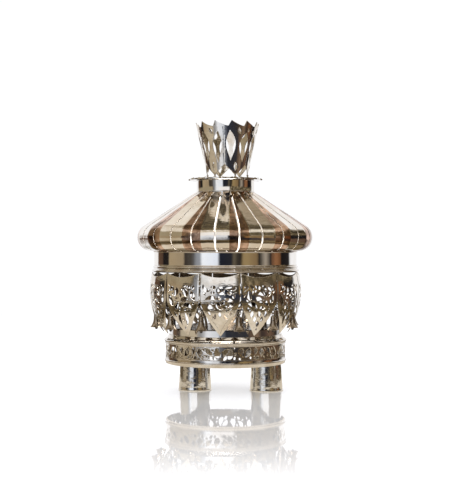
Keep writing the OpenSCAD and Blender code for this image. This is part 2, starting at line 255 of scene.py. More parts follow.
MOULDING = silver("rolled moulding", (0.86, 0.83, 0.79), (0.58, 0.5, 0.4), (0.14, 0.1, 0.06), toning=0.65,
                  spotting=0.4, patch=24.0, gloss=0.04, marks=0.08, wave=0.12, wave_scale=60.0)
HAMMERED = silver("hammered sleeve", (0.86, 0.85, 0.82), (0.62, 0.57, 0.5), (0.12, 0.1, 0.08), toning=0.55,
                  spotting=0.45, patch=34.0, gloss=0.06, marks=0.08, wave=0.25, wave_scale=50.0, dints=0.12,
                  dint_scale=150.0)
ANTIQUE = silver("antique bell", (0.5, 0.43, 0.35), (0.26, 0.2, 0.14), (0.08, 0.06, 0.04), toning=0.85,
                 spotting=0.5, patch=60.0, gloss=0.16, marks=0.12, wave=0.12, wave_scale=120.0)
BLACKENED = silver("blackened clapper", (0.1, 0.09, 0.085), (0.05, 0.04, 0.035), (0.22, 0.17, 0.12),
                   toning=0.7, spotting=0.4, patch=140.0, gloss=0.28, marks=0.2)
FITTING = silver("plain fitting", (0.62, 0.58, 0.52), (0.42, 0.34, 0.25), (0.12, 0.09, 0.06), toning=0.6,
                 spotting=0.4, patch=50.0, gloss=0.12, marks=0.14)
INSIDE = silver("unpolished inside", (0.9, 0.88, 0.85), (0.8, 0.74, 0.66), (0.5, 0.42, 0.32), toning=0.5,
                spotting=0.3, patch=20.0, gloss=0.42, marks=0.15, wave=0.2, wave_scale=60.0)
# Painted shade: the insides of the pierced sheet are painted dark brown for the shade inside the crown, with
# patchy toning and lighter flecks over it.
SHADED_INSIDE = silver("shade-darkened inside", (0.24, 0.19, 0.14), (0.09, 0.065, 0.042), (0.4, 0.33, 0.24), toning=0.85,
              spotting=0.35, patch=34.0, gloss=0.24, marks=0.15, wave=0.3, wave_scale=60.0)
# Painted shade: the fittings deep inside the crown are painted near black for the shade there, with patchy
# toning and lighter flecks over it.
SHADED_FITTING = silver("shade-darkened fitting", (0.11, 0.09, 0.07), (0.045, 0.035, 0.026), (0.3, 0.25, 0.18), toning=0.8,
                spotting=0.25, patch=40.0, gloss=0.16, marks=0.12, wave=0.2, wave_scale=60.0)


# ---------- making pieces ----------


def finish_piece(bm, name, material, body="crown", stands_for=(), sharp=SHARP, inner=None):
    """Turns the bmesh into a named piece that rides on its body.

    Faces towards the crown's axis take the inner finish, if there is one."""
    bmesh.ops.recalc_face_normals(bm, faces=bm.faces)
    if inner:
        for face in bm.faces:
            middle = face.calc_center_median()
            if face.normal.dot(Vector((middle.x, middle.y, 0)).normalized()) < FACES_IN:
                face.material_index = 1
    mesh = bpy.data.meshes.new(name)
    bm.to_mesh(mesh)
    bm.free()
    for face in mesh.polygons:
        face.use_smooth = True
    mesh.set_sharp_from_angle(angle=sharp)
    mesh.materials.append(material)
    if inner:
        mesh.materials.append(inner)
    piece = bpy.data.objects.new(name, mesh)
    bpy.context.scene.collection.objects.link(piece)
    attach(piece, body)
    if stands_for:
        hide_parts(*stands_for)
    return piece


def turn(bm, outline, steps=192, closed=True):
    """Spins an outline of (radius, height) in millimetres about the upright axis."""
    verts = [bm.verts.new((r * MM, 0, z * MM)) for r, z in outline]
    pairs = list(zip(verts, verts[1:] + verts[:1])) if closed else list(zip(verts, verts[1:]))
    edges = [bm.edges.new(pair) for pair in pairs]
    bmesh.ops.spin(bm, geom=verts + edges, cent=(0, 0, 0), axis=UP, angle=math.tau, steps=steps,
                   use_merge=True, use_duplicate=False)
    bmesh.ops.remove_doubles(bm, verts=bm.verts, dist=1e-7)


def arc(cx, cz, radius, start, end, steps=8):
    """Points on an arc of an outline, angles in degrees."""
    angles = [math.radians(start + (end - start) * k / steps) for k in range(steps + 1)]
    return [(cx + radius * math.cos(a), cz + radius * math.sin(a)) for a in angles]


def wire_ring(bm, centre, axis, radius, wire, steps=40, sides=14):
    """A round wire bent into a ring. Lengths in metres."""
    across = axis.orthogonal().normalized()
    verts = []
    for k in range(sides):
        a = math.tau * k / sides
        out = radius + wire * math.cos(a)
        verts.append(bm.verts.new(centre + across * out + axis * wire * math.sin(a)))
    edges = [bm.edges.new(pair) for pair in zip(verts, verts[1:] + verts[:1])]
    bmesh.ops.spin(bm, geom=verts + edges, cent=centre, axis=axis, angle=math.tau, steps=steps,
                   use_merge=True, use_duplicate=False)


def turned_bmesh(outline, steps, closed=True):
    """A new bmesh with one turned shape in it."""
    bm = bmesh.new()
    turn(bm, outline, steps, closed)
    return bm


def azimuth_of(index, offset=0.0):
    """The direction of a shield from the axis. An offset of 0.5 is that of the bell beside it."""
    return FRONT + STEP * (index - 1 + offset)


def leaf(x, z, length, width, turn_deg=0.0, bend=0.0, belly=0.5, steps=8):
    """Outline of a leaf-shaped hole, pointed at both ends, its middle line bent through `bend` degrees."""
    power = math.log(0.5) / math.log(belly)
    left, right = [], []
    for k in range(steps + 1):
        t = k / steps
        lean = math.radians(bend) * (t - 0.5)
        if abs(bend) > 1:
            radius = length / math.radians(bend)
            cx, cy = radius * (math.cos(lean) - 1), radius * math.sin(lean)
        else:
            cx, cy = 0.0, length * (t - 0.5)
        half = width / 2 * math.sin(math.pi * t**power)
        nx, ny = math.cos(lean), math.sin(lean)
        right.append((cx + half * nx, cy + half * ny))
        if 0 < k < steps:
            left.append((cx - half * nx, cy - half * ny))
    c, s = math.cos(math.radians(turn_deg)), math.sin(math.radians(turn_deg))
    return [(x + c * px - s * py, z + s * px + c * py) for px, py in right + left[::-1]]


CLOSE = 0.7  # millimetres between the points that two outlines are compared by


def mirrored(points):
    return [(-x, z) for x, z in points][::-1]


def apart(points, others, gap):
    """True if an outline keeps its distance from all the others."""
    a = np.array(dense(points, CLOSE))
    low, high = a.min(0) - gap, a.max(0) + gap
    for other in others:
        b = np.array(other)
        if (b.max(0) < low).any() or (b.min(0) > high).any():
            continue
        b = np.array(dense(other, CLOSE))
        across, along = a[:, None, 0] - b[None, :, 0], a[:, None, 1] - b[None, :, 1]
        if np.min(np.hypot(across, along)) < gap:
            return False
    return True


def inside(point, outline):
    """True if a point lies within an outline."""
    x, z = point
    crossings = False
    for (x0, z0), (x1, z1) in zip(outline, outline[1:] + outline[:1]):
        if (z0 > z) != (z1 > z) and x < x0 + (z - z0) * (x1 - x0) / (z1 - z0):
            crossings = not crossings
    return crossings


def fits(points, holes, gap):
    """True if a hole neither touches nor holds, nor lies in, any of the others."""
    if not apart(points, holes, gap):
        return False
    return not any(inside(points[0], hole) or inside(hole[0], points) for hole in holes)


def dense(outline, longest=1.0):
    """The same outline with points no more than `longest` millimetres apart."""
    points = []
    for (x0, z0), (x1, z1) in zip(outline, outline[1:] + outline[:1]):
        count = max(1, math.ceil(math.hypot(x1 - x0, z1 - z0) / longest))
        points += [(x0 + (x1 - x0) * k / count, z0 + (z1 - z0) * k / count) for k in range(count)]
    return points


def cut_sheet(outline, holes, thickness, edge, grid):
    """Flat sheet with rounded edges and holes, sliced every `grid` millimetres so that it can be bent."""
    drawing = bpy.data.curves.new("sheet drawing", "CURVE")
    drawing.dimensions = "2D"
    drawing.fill_mode = "BOTH"
    drawing.extrude = thickness / 2 - edge
    drawing.bevel_depth = edge
    drawing.bevel_resolution = 1
    drawing.offset = -edge
    for points in [outline] + holes:
        spline = drawing.splines.new("POLY")
        spline.points.add(len(points) - 1)
        for place, (x, z) in zip(spline.points, points):
            place.co = (x, z, 0, 1)
        spline.use_cyclic_u = True
    holder = bpy.data.objects.new("sheet drawing", drawing)
    bpy.context.scene.collection.objects.link(holder)
    flat = bpy.data.meshes.new_from_object(holder.evaluated_get(bpy.context.evaluated_depsgraph_get()))
    bm = bmesh.new()
    bm.from_mesh(flat)
    bpy.data.objects.remove(holder)
    bpy.data.curves.remove(drawing)
    bpy.data.meshes.remove(flat)
    bmesh.ops.remove_doubles(bm, verts=bm.verts, dist=0.002)
    for axis in (0, 1):
        values = [v.co[axis] for v in bm.verts]
        place, last = min(values) + grid, max(values)
        while place < last:
            spot, normal = [0, 0, 0], [0, 0, 0]
            spot[axis], normal[axis] = place, 1
            whole = bm.verts[:] + bm.edges[:] + bm.faces[:]
            bmesh.ops.bisect_plane(bm, geom=whole, dist=1e-4, plane_co=spot, plane_no=normal)
            place += grid
    return bm


# ---------- sleeves ----------

SLEEVE_TOP = 72.8
FLARE_TOP = 50.0
BORE = 20.3
NECK = 21.5
MOUTH = 24.3
SLEEVE_T = 1.2
LEFT_AT, RIGHT_AT = -45.5, 60.8
BEATEN = 0.28


def sleeve(side, x, name):
    """A stave sleeve: a flared, hand-beaten tube with a rolled rim."""
    within = MOUTH - SLEEVE_T
    inner = [(BORE, SLEEVE_TOP), (BORE, FLARE_TOP)]
    inner += [(within - (within - BORE) * k / 16, FLARE_TOP * k / 16) for k in range(15, -1, -1)]
    rim = arc(MOUTH - 0.2, 0.9, 0.9, -90, 150, 12)
    outer = [(MOUTH - (MOUTH - NECK) * k / 24, FLARE_TOP * k / 24) for k in range(1, 25)]
    outer += [(NECK, FLARE_TOP + (SLEEVE_TOP - FLARE_TOP) * k / 10) for k in range(1, 11)]
    bm = turned_bmesh(inner + rim + outer, 128)
    for v in bm.verts:
        r, z = math.hypot(v.co.x, v.co.y), v.co.z
        if z > 3 * MM and r > (MOUTH - 0.35 - (MOUTH - NECK) * min(z / MM / FLARE_TOP, 1)) * MM:
            beat = noise.noise(Vector((v.co.x, v.co.y, z)) * 95 + Vector((side, 0, 0)) * 7)
            v.co.xy *= 1 - (0.5 + 0.5 * beat) * BEATEN * MM / r
    bmesh.ops.translate(bm, verts=bm.verts, vec=(x * MM, 0, 0))
    hand = name.split("_")[0]
    finish_piece(bm, name, HAMMERED, hand + "_sleeve", ("sleeve_" + hand,))


# ---------- mouldings ----------


def lower_ring():
    """The lower moulded ring of the base."""
    z = 41.3
    outline = [(85.9, z), (87.0, z)] + arc(87.1, z + 1.6, 1.6, -80, 10, 6) + [(89.2, z + 3.2)]
    outline += arc(88.6, z + 5.0, 1.7, -55, 75, 10) + [(88.95, z + 7.1), (88.9, 52.0), (85.9, 52.0)]
    finish_piece(turned_bmesh(outline, 240), "lower_ring_moulding", MOULDING, stands_for=("base_lower_ring",))


def upper_ring():
    """The upper moulded ring of the base, up to the neck."""
    z = 71.5
    outline = [(85.5, z), (89.2, z)] + arc(89.3, z + 1.0, 1.0, -80, 60, 8) + [(90.0, z + 2.6)]
    outline += arc(89.5, z + 4.2, 1.7, -60, 70, 10) + [(89.3, z + 6.2), (87.5, z + 7.3), (86.2, z + 8.6)]
    outline += [(85.3, z + 10.3), (84.8, z + 12.0)] + arc(83.9, z + 12.4, 0.6, 0, 90, 4)
    outline += [(83.2, 84.5), (83.2, 74.5), (87, 74.5), (87, 73), (85.5, 73)]
    finish_piece(turned_bmesh(outline, 240), "upper_ring_moulding", MOULDING, stands_for=("base_upper_ring",))


def wall_ring():
    """The moulded ring on top of the shields."""
    z = WALL_TOP
    outline = [(104.4, z), (107.8, z)] + arc(108.3, z + 2.4, 1.55, -75, 80, 10) + [(107.6, z + 4.6)]
    outline += [(107.1, z + 5.4)] + arc(106.9, z + 7.7, 1.2, -60, 75, 8)
    outline += [(106.5, z + 9.6), (106.9, z + 10.4), (106.7, 187.0), (104.4, 187.0)]
    finish_piece(turned_bmesh(outline, 240), "wall_ring_moulding", MOULDING, stands_for=("wall_top_ring",))


def seat_hoop():
    """The hoop that the dome stands on."""
    z = 204.5
    outline = [(103.4, z), (106.4, z)] + arc(106.3, 205.7, 1.1, -75, 85, 10)
    outline += [(105.4, DOME_Z0), (103.4, DOME_Z0)]
    finish_piece(turned_bmesh(outline, 240), "dome_seat_wire", MOULDING, stands_for=("dome_seat_hoop",))


# ---------- openwork band ----------

BAND_R = 89.0
BAND_Z0, BAND_Z1 = 52.0, 71.5
BAND_T = 1.2
BAND_CELLS = 24
BAND_SEAM = 0.03
UPRIGHT = 0.9


def openwork_band():
    """The base's openwork: small bent leaves cut through sheet, which is bent into a ring.

    The leaves lie in equal cells between plain uprights, in four drawings that take turns."""
    middle = BAND_R - BAND_T / 2
    pitch = math.tau * middle / BAND_CELLS
    mid = (BAND_Z0 + BAND_Z1) / 2
    reach = (BAND_Z1 - BAND_Z0) / 2 - 1.7
    start, end = BAND_SEAM, pitch * BAND_CELLS - BAND_SEAM
    outline = dense([(start, BAND_Z0), (end, BAND_Z0), (end, BAND_Z1), (start, BAND_Z1)], 4.0)
    sizes = [(15.0, 8.0)] * 90 + [(11.5, 6.4)] * 160 + [(8.0, 4.6)] * 220 + [(4.8, 2.8)] * 200
    holes = []
    for k in range(BAND_CELLS):
        dice = random.Random(40 + k % 4)
        first = k * pitch + UPRIGHT / 2
        last = first + pitch - UPRIGHT
        wall = dense([(first, BAND_Z0), (first, BAND_Z1), (last, BAND_Z1), (last, BAND_Z0)])
        near = []
        for length, width in sizes:
            x, z = dice.uniform(1, pitch - 1), dice.uniform(-reach, reach)
            points = leaf(k * pitch + x, mid + z, length * dice.uniform(0.85, 1.1),
                          width * dice.uniform(0.85, 1.15), dice.gauss(0, 38), dice.uniform(-80, 80),
                          dice.uniform(0.3, 0.7))
            if not all(inside(p, wall) for p in points[::3]):
                continue
            if fits(points, near, 0.95) and apart(points, [wall], 0.5):
                near.append(points)
        holes += near
    bm = cut_sheet(outline, holes, BAND_T, 0.18, 3.2)
    for v in bm.verts:
        angle = math.pi / 2 + v.co.x / middle
        r = (middle + v.co.z) * MM
        v.co = (r * math.cos(angle), r * math.sin(angle), v.co.y * MM)
    # The band's inner faces take the painted-shade finish.
    finish_piece(bm, "openwork_band", PIERCED, stands_for=("base_openwork_band",),
                 inner=SHADED_INSIDE)


# ---------- wall shields ----------

WALL_R, WALL_Z = 112.5, 150.0
WALL_TOP = 176.0
TIP_Z, SIDE_Z = 87.0, 140.0
SHIELD_T = 1.1
TOP_DIP = 6.0


def sphere_r(z):
    """Radius of the shields' wall, which is part of a sphere, at a height."""
    return math.sqrt(WALL_R**2 - (z - WALL_Z) ** 2)


def shield_half(z, margin=0.0):
    """Half the width of a shield at a height: a straight-sided field over a swept point."""
    side = (sphere_r(max(z, SIDE_Z)) * math.sin(STEP / 2)) - 0.7
    if z < SIDE_Z:
        side *= 1 - ((SIDE_Z - z) / (SIDE_Z - TIP_Z)) ** 1.45
    return side - margin


def shield_outline():
    """A shield laid flat, as (across, height), with a dip in its top edge."""
    heights = [TIP_Z + (SIDE_Z - TIP_Z) * k / 24 for k in range(25)]
    low = [(shield_half(z), z) for z in heights]
    low += [(shield_half(z), z) for z in (145, 150, 155, 160, 165, 170)]
    corner = shield_half(WALL_TOP)
    top = [(corner * k / 12, WALL_TOP - TOP_DIP * (1 - (k / 12) ** 2)) for k in range(12, -13, -1)]
    return low + top + [(-x, z) for x, z in low[:0:-1]]


def field_outline():
    """Where the small piercing of a shield may be."""
    right = [(shield_half(z, 3.4 + max(0.0, (SIDE_Z - z) * 0.12)), z) for z in range(122, 162, 3)]
    crest = [(right[-1][0] * k / 6, 162.0 - 2.5 * (1 - (k / 6) ** 2)) for k in range(5, -6, -1)]
    return right + crest + [(-x, z) for x, z in right[::-1]]


def shield_holes(style):
    """A shield's piercing: large leaves in its point, and a scatter of small bent leaves over its field."""
    point_leaves = {
        0: [leaf(6.0, 111.5, 20, 4.8, 0, 52), leaf(0, 111.8, 9.0, 4.6), leaf(0, 98.4, 5.0, 2.4),
            leaf(12.6, 118.2, 9, 3.0, -30, -20)],
        1: [leaf(7.8, 115.2, 9.5, 5.2, 30, -30), leaf(0, 118.4, 7.0, 3.8), leaf(14.6, 120.2, 6, 2.6, -30, 20),
            leaf(6.4, 104.0, 20, 0.5, -34, -14, 0.5, 12)],
        2: [leaf(0, 118.2, 9, 6.4), leaf(5.2, 111.4, 9, 4.8, 0), leaf(0, 104.4, 9, 5.2),
            leaf(10.6, 118.4, 9.5, 5.0), leaf(0, 96.6, 4.4, 2.4)],
    }[style]
    holes = []
    edge = dense(shield_outline())
    for points in point_leaves:
        if not apart(points, [edge], 1.3):
            continue
        twins = [points, mirrored(points)] if abs(sum(x for x, _ in points)) > 1 else [points]
        if fits(points, holes, 0.7) and (len(twins) == 1 or apart(points, [twins[1]], 0.7)):
            holes += twins
    border = dense(field_outline())
    dice = random.Random(5 + style)
    sizes = [(17.0, 6.8)] * 300 + [(12.0, 5.6)] * 500 + [(8.0, 4.2)] * 600 + [(5.0, 2.6)] * 450
    for length, width in sizes:
        x, z = dice.uniform(-27, 27), dice.uniform(124, 161)
        points = leaf(x, z, length * dice.uniform(0.8, 1.1), width * dice.uniform(0.8, 1.15),
                      dice.uniform(-90, 90), dice.uniform(-130, 130), dice.uniform(0.28, 0.72))
        if inside((x, z), border) and all(inside(p, border) for p in points[::4]):
            if fits(points, holes, 1.0) and apart(points, [border], 0.5):
                holes.append(points)
    return holes


def bend_to_wall(bm):
    """Wraps a flat shield onto the sphere, facing +X."""
    middle = WALL_R - SHIELD_T / 2
    for v in bm.verts:
        out = Vector((math.sqrt(middle**2 - v.co.x**2 - (v.co.y - WALL_Z) ** 2), v.co.x, v.co.y - WALL_Z))
        out *= (middle + v.co.z) / middle
        v.co = (out + Vector((0, 0, WALL_Z))) * MM


def wall_shields():
    """Twelve shields, in three drawings that take turns."""
    outline = shield_outline()
    for style in range(3):
        bm = cut_sheet(outline, shield_holes(style), SHIELD_T, 0.16, 2.6)
        bend_to_wall(bm)
        for index in range(1, SIDES + 1):
            if index % 3 == style:
                copy = bm.copy()
                bmesh.ops.rotate(copy, verts=copy.verts, matrix=Matrix.Rotation(azimuth_of(index), 3, "Z"))
                # Faces towards the axis take the painted-shade finish.
                finish_piece(copy, "pierced_shield_%02d" % index, PIERCED,
                             stands_for=("wall_shield_%02d" % index,), inner=SHADED_INSIDE)
        bm.free()


# ---------- bells and clappers ----------

HOOK_R, HOOK_Z = 103.5, 118.1
LOOP_R, LOOP_WIRE = 2.2, 0.6
LOOP_Z = HOOK_Z - 0.85
BELL_T = 0.85
PIN_R = 0.45
CROWN_Z = LOOP_Z - LOOP_R
MOUTH_Z = CROWN_Z - 19.5
BELL_R = 8.8
PIN_Z = CROWN_Z - 2.8
TANGENT = Vector((0, 1, 0))


def bell_radius(s):
    """Outer radius of a bell, from its shoulder (0) to its mouth (1)."""
    return 3.5 + (BELL_R - 3.5) * (0.16 * s + 0.84 * s**3.2)


def bell_shape():
    """A trumpet-mouthed bell on the upright axis, with a wire loop on its crown and a pin across it."""
    top, deep = CROWN_Z - 1.2, CROWN_Z - 1.2 - MOUTH_Z
    outer = [(bell_radius(k / 24), top - deep * k / 24) for k in range(25)]
    bands = ((top - 4.2, 0.5), (MOUTH_Z + 3.3, 0.45))
    outer = [(r + (0.16 if any(abs(z - at) < reach for at, reach in bands) else 0), z) for r, z in outer]
    inner = [(bell_radius(k / 24) - BELL_T, top - deep * k / 24) for k in range(24, -1, -1)]
    shoulder = [(0, CROWN_Z), (1.5, CROWN_Z)] + arc(2.2, CROWN_Z - 1.2, 1.2, 85, 12, 5)
    rim = arc(BELL_R - 0.42, MOUTH_Z - 0.1, 0.42, 0, -180, 8)
    bm = turned_bmesh(shoulder + outer[1:] + rim + inner[1:] + [(0, top)], 64, False)
    wire_ring(bm, Vector((0, 0, LOOP_Z)) * MM, TANGENT, LOOP_R * MM, LOOP_WIRE * MM)
    collar = bmesh.new()
    button = [(0, CROWN_Z + 0.3)] + arc(0, CROWN_Z - 0.5, 1.35, 80, 0, 6) + [(0, CROWN_Z - 0.6)]
    turn(collar, button, 32, False)
    join(bm, collar)
    pin = bmesh.new()
    across = Matrix.Translation((0, 0, PIN_Z * MM)) @ Matrix.Rotation(math.pi / 2, 4, "X")
    bmesh.ops.create_cone(pin, segments=16, radius1=PIN_R * MM, radius2=PIN_R * MM, depth=6 * MM,
                          cap_ends=True, matrix=across)
    join(bm, pin)
    return bm


def join(bm, other):
    """Adds another bmesh's geometry to this one."""
    carrier = bpy.data.meshes.new("carrier")
    bmesh.ops.recalc_face_normals(other, faces=other.faces)
    other.to_mesh(carrier)
    other.free()
    bm.from_mesh(carrier)
    bpy.data.meshes.remove(carrier)


def clapper_shape():
    """A ring on the bell's pin, a thin rod and a long drop that shows below the mouth."""
    bm = bmesh.new()
    wire_ring(bm, Vector((0, 0, PIN_Z - 0.25)) * MM, TANGENT, 1.15 * MM, 0.4 * MM, 28, 10)
    low = MOUTH_Z - 1.7
    drop = [(0, PIN_Z - 1.2), (0.5, PIN_Z - 1.35), (0.5, MOUTH_Z + 3.0), (0.75, MOUTH_Z + 1.6)]
    drop += arc(0, low, 2.1, 52, -90, 14)
    shape = bmesh.new()
    turn(shape, drop, 32, False)
    join(bm, shape)
    return bm


def bells():
    """Twelve bells, each with its clapper, turned out from two masters."""
    bell_master, clapper_master = bell_shape(), clapper_shape()
    for index in range(1, SIDES + 1):
        around = Matrix.Rotation(azimuth_of(index, 0.5), 4, "Z") @ Matrix.Translation((HOOK_R * MM, 0, 0))
        for master, kind, material, slot in (
            (bell_master, "bell", ANTIQUE, "antique_silver"),
            (clapper_master, "clapper", BLACKENED, "dark_silver"),
        ):
            copy = master.copy()
            bmesh.ops.transform(copy, matrix=around, verts=copy.verts)
            node = "%s_%02d" % (kind, index)
            name = ("trumpet_" if kind == "bell" else "hung_") + node
            finish_piece(copy, name, material, node + "_swinging", (node,))
    bell_master.free()
    clapper_master.free()


# ---------- dome ----------

DOME_Z0, DOME_Z1 = 207.0, 293.5
SHOULDER_R = 20.0
CENTRE_Z = DOME_Z0 + SHOULDER_R
WIDE_X, WIDE_TOP = 109.2, 43.9
NARROW_X, NARROW_TOP = 110.0, 45.5
DOME_TURN = math.radians(-2.3)
SLOT = 2.4
STRIP_T = 0.85
STRIP_COLUMNS = 12
STRIP_WOBBLE = 0.28
PETAL_SWELL = 0.9


def touch_angle(cx, top):
    """The direction on the shoulder's arc where a facet's straight slope meets it."""
    dx, dz = top - cx, DOME_Z1 - CENTRE_Z
    return math.atan2(dz, dx) - math.acos(SHOULDER_R / math.hypot(dx, dz))


def facet_profile(cx, top, straight=26, bend=30):
    """(distance, height) down a facet: the slope, the shoulder and the tab under it."""
    a = touch_angle(cx, top)
    x0, z0 = cx + SHOULDER_R * math.cos(a), CENTRE_Z + SHOULDER_R * math.sin(a)
    slope = [k / straight for k in range(straight)]
    points = [(top + (x0 - top) * t, DOME_Z1 + (z0 - DOME_Z1) * t) for t in slope]
    for k in range(bend + 1):
        b = a + (-math.pi / 2 - a) * k / bend
        points.append((cx + SHOULDER_R * math.cos(b), CENTRE_Z + SHOULDER_R * math.sin(b)))
    points.append((104.6, DOME_Z0))
    return points


def strip_point(wide, narrow, column, along):
    """A point of the strip beside the front facet, in millimetres, with that facet facing +X.

    Columns up to half the width lie in the wide facet; the rest swell a little, as a petal."""
    (xw, zw), (xn, zn) = wide, narrow
    c, s = math.cos(STEP / 2), math.sin(STEP / 2)
    slot_edge = (xw * s - SLOT / 2) / c
    crease = min((xn - xw * c) / s, slot_edge)
    half = STRIP_COLUMNS // 2
    if column <= half:
        return Vector((xw, SLOT / 2 + (crease - SLOT / 2) * column / half, zw))
    start = Vector((xw, crease, zw))
    if crease >= slot_edge - 1e-6:
        return start
    t = (column - half) / half
    end = Vector((xn * c + SLOT / 2 * s, xn * s - SLOT / 2 * c, zn))
    swell = PETAL_SWELL * math.sin(math.pi * min(1.0, along**2)) * math.sin(t * math.pi / 2)
    return start.lerp(end, t) + Vector((c, s, 0)) * swell


def dome_strips():
    """Twenty-four strips of sheet bent over the shoulder, in mirrored pairs.

    Each has a flat side and a petal side."""
    wide, narrow = facet_profile(WIDE_X, WIDE_TOP), facet_profile(NARROW_X, NARROW_TOP)
    rows = len(wide)
    whole = bmesh.new()
    for index in range(SIDES):
        for flip in (1, -1):
            bm = bmesh.new()
            bmesh.ops.create_grid(bm, x_segments=STRIP_COLUMNS, y_segments=rows - 1, size=1)
            for face in bm.faces:
                face.material_index = 2 if face.calc_center_median().x > 0 else 0
            for v in bm.verts:
                column = round((v.co.x + 1) / 2 * STRIP_COLUMNS)
                row = round((v.co.y + 1) / 2 * (rows - 1))
                place = strip_point(wide[row], narrow[row], column, row / rows)
                wobble = noise.noise(place * 0.03 + Vector((index * 3.1, flip * 5.7, 0)))
                place += Vector((place.x, place.y, 0)).normalized() * wobble * STRIP_WOBBLE
                place.y *= flip
                v.co = place * MM
            bmesh.ops.remove_doubles(bm, verts=bm.verts, dist=0.02 * MM)
            bmesh.ops.recalc_face_normals(bm, faces=bm.faces)
            heart = Vector((0, 0, 0.2))
            outward = sum((f.normal.dot(f.calc_center_median() - heart) for f in bm.faces))
            if outward < 0:
                bmesh.ops.reverse_faces(bm, faces=bm.faces)
            bmesh.ops.solidify(bm, geom=bm.faces[:], thickness=STRIP_T * MM)
            facing = Matrix.Rotation(FRONT + DOME_TURN + index * STEP, 3, "Z")
            bmesh.ops.rotate(bm, verts=bm.verts, matrix=facing)
            join(whole, bm)
    piece = finish_piece(whole, "bent_dome_strips", STRIPS, stands_for=("dome_strips",),
                         sharp=math.radians(24), inner=INSIDE)
    piece.data.materials.append(PETALS)


# ---------- collar plate and coronet ----------

PLATE_Z, PLATE_T = 312.0, 2.4
PLATE_R = 53.0
LOBE_AT, LOBE_R = 48.4, 7.0
COLLAR_R = 43.3


def collar():
    """The plain collar, with a fine wire round its foot and its top."""
    foot, top = DOME_Z1 - 5, PLATE_Z
    outline = [(COLLAR_R - 1.1, foot), (COLLAR_R - 0.2, foot)]
    outline += [(COLLAR_R, foot + 1.5), (COLLAR_R, foot + 5.6)]
    outline += arc(COLLAR_R - 0.1, foot + 6.3, 0.45, -70, 70, 6)
    outline += [(COLLAR_R - 0.04, foot + 7), (COLLAR_R - 0.12, foot + 14), (COLLAR_R, top - 1.8)]
    outline += arc(COLLAR_R - 0.1, top - 0.9, 0.5, -70, 80, 6) + [(COLLAR_R - 1.1, top - 0.1)]
    finish_piece(turned_bmesh(outline, 160), "plain_collar", PLAIN, stands_for=("collar_band",))


def lobed_plate():
    """The plate under the coronet, with twelve shallow lobes, and a bead in each lobe and each notch."""
    points = []
    for k in range(360):
        a = math.radians(k)
        near = (a + STEP / 2) % STEP - STEP / 2
        lobe = LOBE_AT * math.cos(near) + math.sqrt(max(0.0, LOBE_R**2 - (LOBE_AT * math.sin(near)) ** 2))
        r = max(lobe, PLATE_R)
        points.append((r * math.cos(a), r * math.sin(a)))
    bm = cut_sheet(points, [], PLATE_T, 0.5, 9.0)
    for v in bm.verts:
        dished = max(0.0, (math.hypot(v.co.x, v.co.y) - 44.0) / 10.0) ** 2
        v.co = Vector((v.co.x, v.co.y, PLATE_Z + PLATE_T / 2 + v.co.z - 0.35 * min(dished, 1.0))) * MM
    for k in range(SIDES * 2):
        a = STEP * k / 2
        r = 52.3 if k % 2 == 0 else 50.9
        bead = bmesh.new()
        centre = Vector((r * math.cos(a), r * math.sin(a), PLATE_Z + PLATE_T - 0.2)) * MM
        bmesh.ops.create_uvsphere(bead, u_segments=16, v_segments=10, radius=1.0 * MM,
                                  matrix=Matrix.Translation(centre))
        join(bm, bead)
    finish_piece(bm, "lobed_plate", MOULDING, stands_for=("collar_plate",))


LEAVES = 6
CORONET_X = 3.0
CORONET_TURN = math.radians(-3.6)
FOOT_Z, ARCH_Z, TOP_Z = 320.0, 334.0, 397.0
FOOT_R, TOP_R = 30.5, 47.5
LEAF_T = 1.1
TOOTH_H = 8.0


def leaf_azimuth(k):
    """The direction of a coronet leaf's middle."""
    return FRONT + CORONET_TURN + math.radians(30 + 60 * k)


def coronet_r(z):
    """Outer radius of the coronet at a height."""
    return FOOT_R + (TOP_R - FOOT_R) * (z - FOOT_Z) / (TOP_Z - FOOT_Z)


def leaf_side(z):
    """Half the width of a coronet leaf at a height, measured round the curve."""
    return (coronet_r(z) - 0.55) * math.radians(180 / LEAVES - 0.3)


def coronet_tooth(k):
    """Height of the coronet's top edge over its notches: swept points, one every twelve steps."""
    u = ((k + 18) % 12) / 12
    return TOOTH_H * ((1 - u * 1.2) ** 1.6 if u <= 5 / 6 else (u - 5 / 6) * 6)


